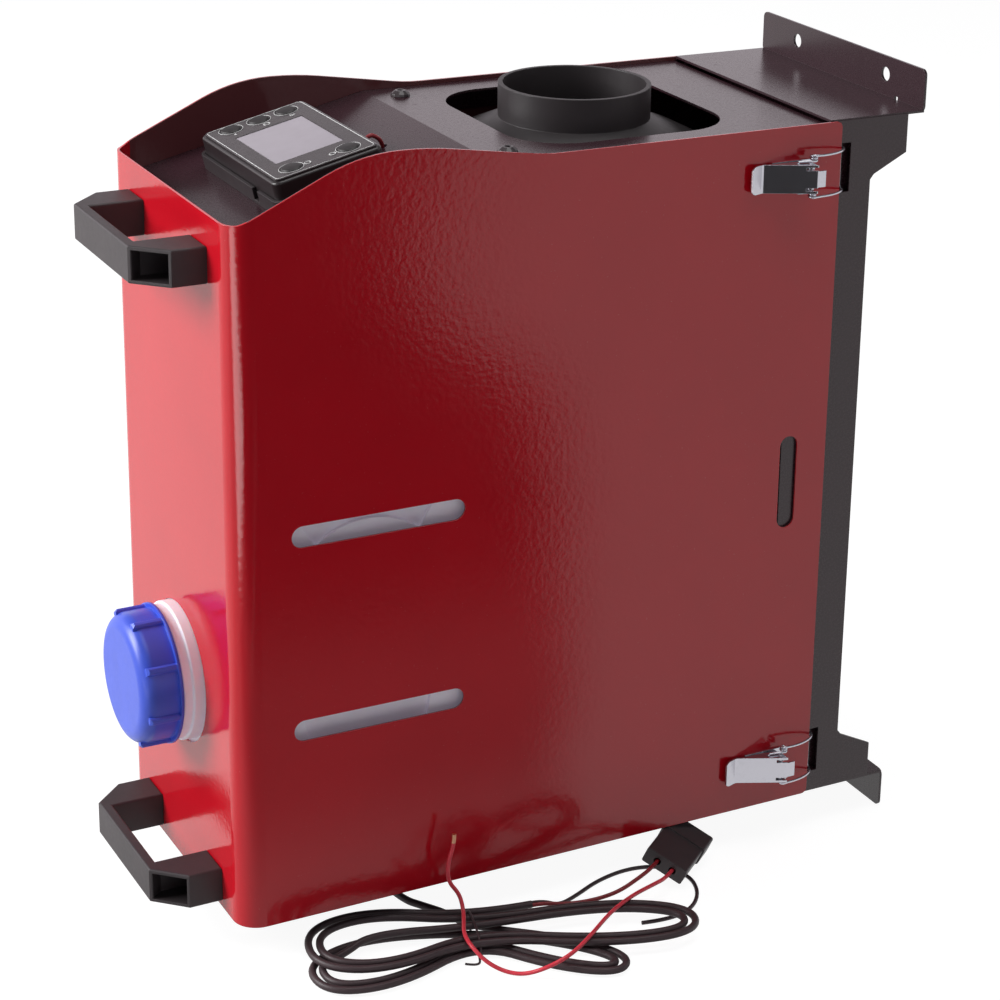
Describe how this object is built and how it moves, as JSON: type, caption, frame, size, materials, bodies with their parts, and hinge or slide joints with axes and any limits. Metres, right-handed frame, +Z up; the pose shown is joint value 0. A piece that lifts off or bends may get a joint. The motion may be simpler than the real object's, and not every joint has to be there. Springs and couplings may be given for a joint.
{
  "type": "portable diesel air heater",
  "caption": "Boxed diesel air heater with a latched red cover, two carry handles, sloping controller, side tank with screw cap, air outlet on top and a tied bundle of cable.",
  "frame": {"origin": "centre between the two wall holes of the upper rear flange, on the flange's rear face", "axes": "+Z up; +Y out of the rear towards the wall; +X to the right seen from the front, where the handles and the filler cap are"},
  "size_m": [0.2449, 0.3841, 0.3919],
  "materials": {
    "red_paint": "powder coat, fine orange peel",
    "black_steel": "satin black powder coat",
    "black_plastic": "moulded, matt",
    "case_plastic": "moulded, semi-gloss",
    "face_film": "smooth film",
    "lcd": "dark display window",
    "key_rubber": "pale elastomer",
    "circuit_board": "green laminate",
    "zinc_steel": "bright zinc",
    "latch_chrome": "nickel plated",
    "tank_plastic": "translucent natural polyethylene",
    "blue_plastic": "moulded, semi-gloss",
    "seal_rubber": "black rubber",
    "duct_plastic": "heat resisting plastic",
    "cast_aluminium": "as cast",
    "bright_steel": "plain steel",
    "motor_steel": "zinc plated",
    "filter_plastic": "clear nylon",
    "line_plastic": "nylon line",
    "cable_sheath": "black sheath",
    "wire_red": "red insulation, bare copper tip",
    "wire_mixed": "one red and one black wire"
  },
  "bodies": {
    "heater_box": {"red_cover": "red_paint", "top_panel": "black_steel", "base_pan": "black_steel", "chassis": "black_steel", "handle_upper": "black_plastic", "handle_lower": "black_plastic", "controller_cradle": "black_plastic", "fuse_holder": "black_plastic", "controller_case": "case_plastic", "control_unit": "case_plastic", "controller_face": "face_film", "lcd_screen": "lcd", "controller_board": "circuit_board", "button_screws": "zinc_steel", "latch_rivets": "zinc_steel", "latch_base_upper_right": "latch_chrome", "latch_base_upper_left": "latch_chrome", "latch_base_lower_right": "latch_chrome", "latch_base_lower_left": "latch_chrome", "fuel_tank": "tank_plastic", "base_gasket": "seal_rubber", "cable_grommet": "seal_rubber", "pump_clamp": "seal_rubber", "fuel_hoses": "seal_rubber", "duct_outlet": "duct_plastic", "casing_front": "duct_plastic", "casing_rear": "duct_plastic", "heat_exchanger": "cast_aluminium", "burner": "bright_steel", "glow_plug": "bright_steel", "pump_body": "bright_steel", "pickup_pipe": "bright_steel", "drive_motor": "motor_steel", "fuel_filter": "filter_plastic", "delivery_line": "line_plastic", "harness_cable": "cable_sheath", "cable_hank": "cable_sheath", "controller_lead": "cable_sheath", "cable_tie": "cable_sheath", "lead_red": "wire_red", "feed_wires": "wire_mixed"},
    "cap_seal": {"cap_liner": "seal_rubber"},
    "cap": {"filler_cap": "blue_plastic"},
    "rotor": {"rotor_shaft": "bright_steel", "heating_fan": "duct_plastic", "combustion_fan": "cast_aluminium"},
    "plunger": {"pump_plunger": "bright_steel"},
    "key_up": {"button_up": "key_rubber"},
    "key_ok": {"button_ok": "key_rubber"},
    "key_down": {"button_down": "key_rubber"},
    "key_power": {"button_power": "key_rubber"},
    "key_settings": {"button_settings": "key_rubber"},
    "lever_upper_right": {"latch_lever_upper_right": "latch_chrome"},
    "bail_upper_right": {"latch_bail_upper_right": "latch_chrome"},
    "lever_upper_left": {"latch_lever_upper_left": "latch_chrome"},
    "bail_upper_left": {"latch_bail_upper_left": "latch_chrome"},
    "lever_lower_right": {"latch_lever_lower_right": "latch_chrome"},
    "bail_lower_right": {"latch_bail_lower_right": "latch_chrome"},
    "lever_lower_left": {"latch_lever_lower_left": "latch_chrome"},
    "bail_lower_left": {"latch_bail_lower_left": "latch_chrome"}
  },
  "joints": [
    {"name": "cap_rise", "type": "slide", "parent": "heater_box", "child": "cap_seal", "axis": [0, -1, 0], "range_m": [0, 0.01]},
    {"name": "cap_turn", "type": "hinge", "parent": "cap_seal", "child": "cap", "pos_m": [0, -0.3636, -0.262], "axis": [0, -1, 0], "range_deg": [0, 721]},
    {"name": "rotor_spin", "type": "hinge", "parent": "heater_box", "child": "rotor", "pos_m": [0, -0.1508, -0.283], "axis": [0, 0, 1], "continuous": true},
    {"name": "plunger_stroke", "type": "slide", "parent": "heater_box", "child": "plunger", "axis": [0, 0, 1], "range_m": [0, 0.0025], "stiffness_N_per_m": 600},
    {"name": "press_up", "type": "slide", "parent": "heater_box", "child": "key_up", "axis": [0, 0.23, -0.9732], "range_m": [0, 0.0008], "stiffness_N_per_m": 300},
    {"name": "press_ok", "type": "slide", "parent": "heater_box", "child": "key_ok", "axis": [0, 0.23, -0.9732], "range_m": [0, 0.0008], "stiffness_N_per_m": 300},
    {"name": "press_down", "type": "slide", "parent": "heater_box", "child": "key_down", "axis": [0, 0.23, -0.9732], "range_m": [0, 0.0008], "stiffness_N_per_m": 300},
    {"name": "press_power", "type": "slide", "parent": "heater_box", "child": "key_power", "axis": [0, 0.23, -0.9732], "range_m": [0, 0.0008], "stiffness_N_per_m": 300},
    {"name": "press_settings", "type": "slide", "parent": "heater_box", "child": "key_settings", "axis": [0, 0.23, -0.9732], "range_m": [0, 0.0008], "stiffness_N_per_m": 300},
    {"name": "lever_upper_right", "type": "hinge", "parent": "heater_box", "child": "lever_upper_right", "pos_m": [0.083, -0.07, -0.034], "axis": [0, 0, 1], "range_deg": [0, 140]},
    {"name": "bail_upper_right", "type": "hinge", "parent": "lever_upper_right", "child": "bail_upper_right", "pos_m": [0.0806, -0.0754, -0.034], "axis": [0, 0, 1], "range_deg": [-168, 0]},
    {"name": "lever_upper_left", "type": "hinge", "parent": "heater_box", "child": "lever_upper_left", "pos_m": [-0.083, -0.07, -0.034], "axis": [0, 0, -1], "range_deg": [0, 140]},
    {"name": "bail_upper_left", "type": "hinge", "parent": "lever_upper_left", "child": "bail_upper_left", "pos_m": [-0.0806, -0.0754, -0.034], "axis": [0, 0, -1], "range_deg": [-168, 0]},
    {"name": "lever_lower_right", "type": "hinge", "parent": "heater_box", "child": "lever_lower_right", "pos_m": [0.083, -0.07, -0.34], "axis": [0, 0, 1], "range_deg": [0, 140]},
    {"name": "bail_lower_right", "type": "hinge", "parent": "lever_lower_right", "child": "bail_lower_right", "pos_m": [0.0806, -0.0754, -0.34], "axis": [0, 0, 1], "range_deg": [-168, 0]},
    {"name": "lever_lower_left", "type": "hinge", "parent": "heater_box", "child": "lever_lower_left", "pos_m": [-0.083, -0.07, -0.34], "axis": [0, 0, -1], "range_deg": [0, 140]},
    {"name": "bail_lower_left", "type": "hinge", "parent": "lever_lower_left", "child": "bail_lower_left", "pos_m": [-0.0806, -0.0754, -0.34], "axis": [0, 0, -1], "range_deg": [-168, 0]}
  ],
  "couplings": [
    {"joint": "cap_turn", "follows": "cap_rise", "rad_per_m": 1256.6},
    {"joint": "bail_upper_right", "follows": "lever_upper_right", "ratio": -1.2},
    {"joint": "bail_upper_left", "follows": "lever_upper_left", "ratio": -1.2},
    {"joint": "bail_lower_right", "follows": "lever_lower_right", "ratio": -1.2},
    {"joint": "bail_lower_left", "follows": "lever_lower_left", "ratio": -1.2}
  ]
}
